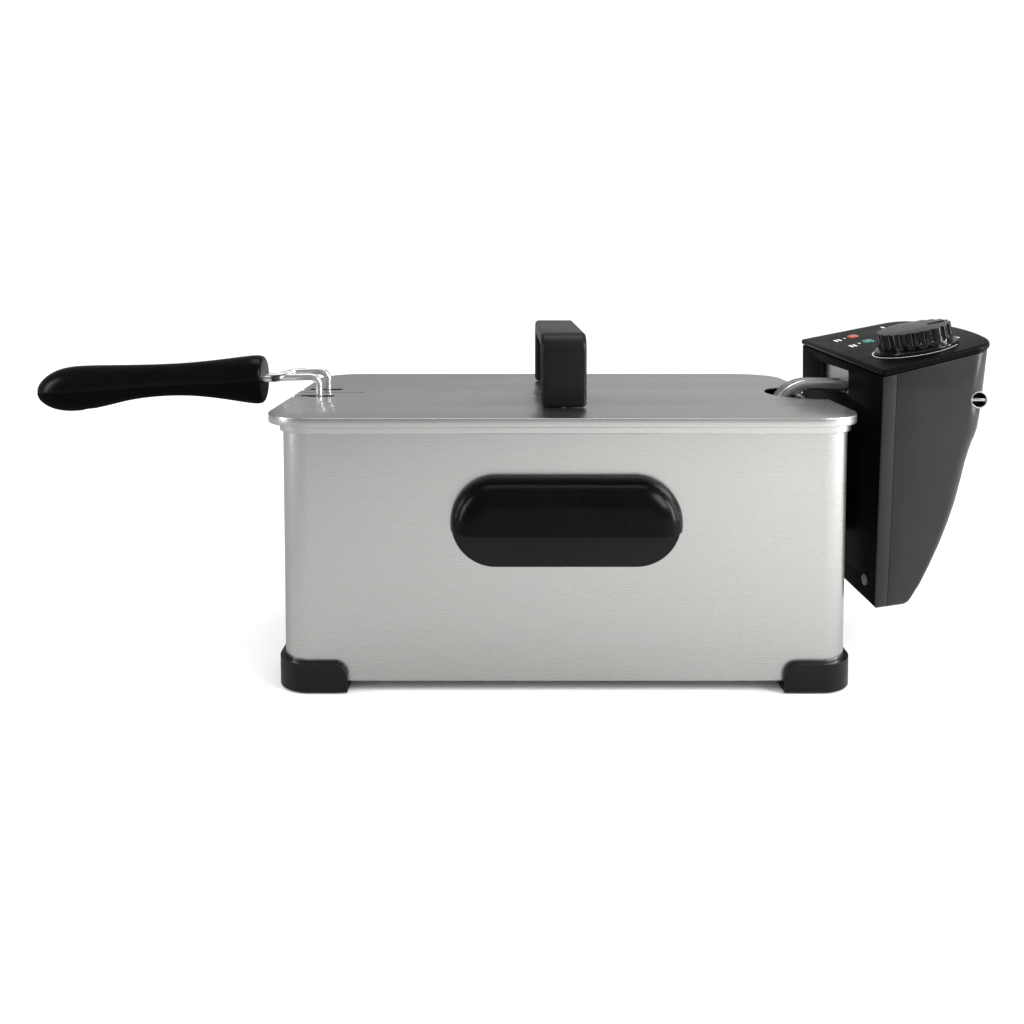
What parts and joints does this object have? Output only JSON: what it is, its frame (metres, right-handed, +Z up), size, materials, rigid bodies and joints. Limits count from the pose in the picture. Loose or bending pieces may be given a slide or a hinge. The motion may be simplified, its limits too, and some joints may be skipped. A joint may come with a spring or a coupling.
{
  "type": "deep fryer",
  "caption": "Rectangular steel cold-zone deep fryer with a lift-out bowl, plug-on heater control box, wire-handled basket and flat slotted lid.",
  "frame": {"origin": "middle of the footprint's bounding box, on the surface the feet stand on", "axes": "+X along the casing's long side towards the control box, +Y from the front side handle to the rear one, +Z up"},
  "size_m": [0.5828, 0.228, 0.2014],
  "materials": {
    "brushed_steel": "fine straight-grain brushed stainless sheet",
    "plain_steel": "mill-finish steel sheet",
    "bowl_steel": "drawn stainless, satin",
    "wire_steel": "bright plated wire",
    "bright_steel": "bright plated fasteners",
    "element_steel": "heat-toned dark satin tube",
    "black_plastic": "black moulded, satin",
    "dark_plastic": "black moulded, finely textured",
    "knob_plastic": "black moulded, glossy",
    "rubber": "matt black rubber",
    "red_lens": "translucent orange-red moulding",
    "green_lens": "translucent blue-green moulding",
    "red_plastic": "red moulded button",
    "lamp_glass": "small neon lamp",
    "ceramic": "unglazed steatite"
  },
  "bodies": {
    "casing": {"outer_casing": "brushed_steel", "base_plate": "plain_steel", "foot_front_left": "black_plastic", "foot_front_right": "black_plastic", "foot_rear_left": "black_plastic", "foot_rear_right": "black_plastic", "foot_pad_front_left": "rubber", "foot_pad_front_right": "rubber", "foot_pad_rear_left": "rubber", "foot_pad_rear_right": "rubber", "side_handle_front": "black_plastic", "side_handle_rear": "black_plastic", "handle_strip_front": "plain_steel", "handle_strip_rear": "plain_steel", "handle_screw_front_a": "bright_steel", "handle_screw_front_b": "bright_steel", "handle_screw_rear_a": "bright_steel", "handle_screw_rear_b": "bright_steel", "control_rail": "plain_steel", "rail_rivet_a": "bright_steel", "rail_rivet_b": "bright_steel"},
    "bowl": {"oil_bowl": "bowl_steel"},
    "heater_unit": {"rear_shell": "dark_plastic", "front_shell": "black_plastic", "shell_screw_a": "bright_steel", "shell_screw_b": "bright_steel", "docking_tongue": "dark_plastic", "top_panel": "black_plastic", "red_lens": "red_lens", "green_lens": "green_lens", "red_lamp": "lamp_glass", "green_lamp": "lamp_glass", "thermostat_body": "ceramic", "terminal_plate": "brushed_steel", "slotted_cap": "dark_plastic", "thermal_cutout": "ceramic", "cord_gland": "rubber", "terminal_block": "ceramic", "interlock_switch": "dark_plastic", "heating_element": "element_steel", "sensor_tube": "bright_steel", "element_clamp": "plain_steel"},
    "thermostat_dial": {"thermostat_knob": "knob_plastic", "thermostat_shaft": "plain_steel"},
    "reset": {"reset_button": "red_plastic"},
    "interlock": {"interlock_plunger": "red_plastic"},
    "basket": {"basket_wall": "wire_steel", "basket_floor": "wire_steel", "basket_rim": "wire_steel", "basket_hook": "wire_steel", "handle_socket": "wire_steel"},
    "basket_handle": {"handle_wire_front": "wire_steel", "handle_wire_rear": "wire_steel", "grip_upper": "black_plastic", "grip_lower": "dark_plastic", "grip_screw": "bright_steel"},
    "lid": {"lid_plate": "brushed_steel", "lid_handle": "black_plastic", "lid_screw_front": "bright_steel", "lid_screw_rear": "bright_steel"}
  },
  "joints": [
    {"name": "bowl_lift", "type": "slide", "parent": "casing", "child": "bowl", "axis": [0, 0, 1], "range_m": [0, 0.16]},
    {"name": "heater_lift", "type": "slide", "parent": "bowl", "child": "heater_unit", "axis": [0, 0, 1], "range_m": [0, 0.17]},
    {"name": "basket_lift", "type": "slide", "parent": "heater_unit", "child": "basket", "axis": [0, 0, 1], "range_m": [0, 0.13]},
    {"name": "lid_lift", "type": "slide", "parent": "basket", "child": "lid", "axis": [0, 0, 1], "range_m": [0, 0.12]},
    {"name": "basket_handle_pull", "type": "slide", "parent": "basket", "child": "basket_handle", "axis": [0, 0, 1], "range_m": [0, 0.03]},
    {"name": "thermostat_turn", "type": "hinge", "parent": "heater_unit", "child": "thermostat_dial", "pos_m": [0.25031, -0.03721, 0.1843], "axis": [-0.2177, -0.0293, 0.9756], "range_deg": [-270, 0]},
    {"name": "reset_press", "type": "slide", "parent": "heater_unit", "child": "reset", "axis": [0, -1, 0], "range_m": [0, 0.002], "stiffness_N_per_m": 400},
    {"name": "interlock_drop", "type": "slide", "parent": "heater_unit", "child": "interlock", "axis": [0, 0, -1], "range_m": [0, 0.003]}
  ],
  "couplings": [
    {"joint": "interlock_drop", "follows": "heater_lift", "ratio": 0.017637}
  ]
}
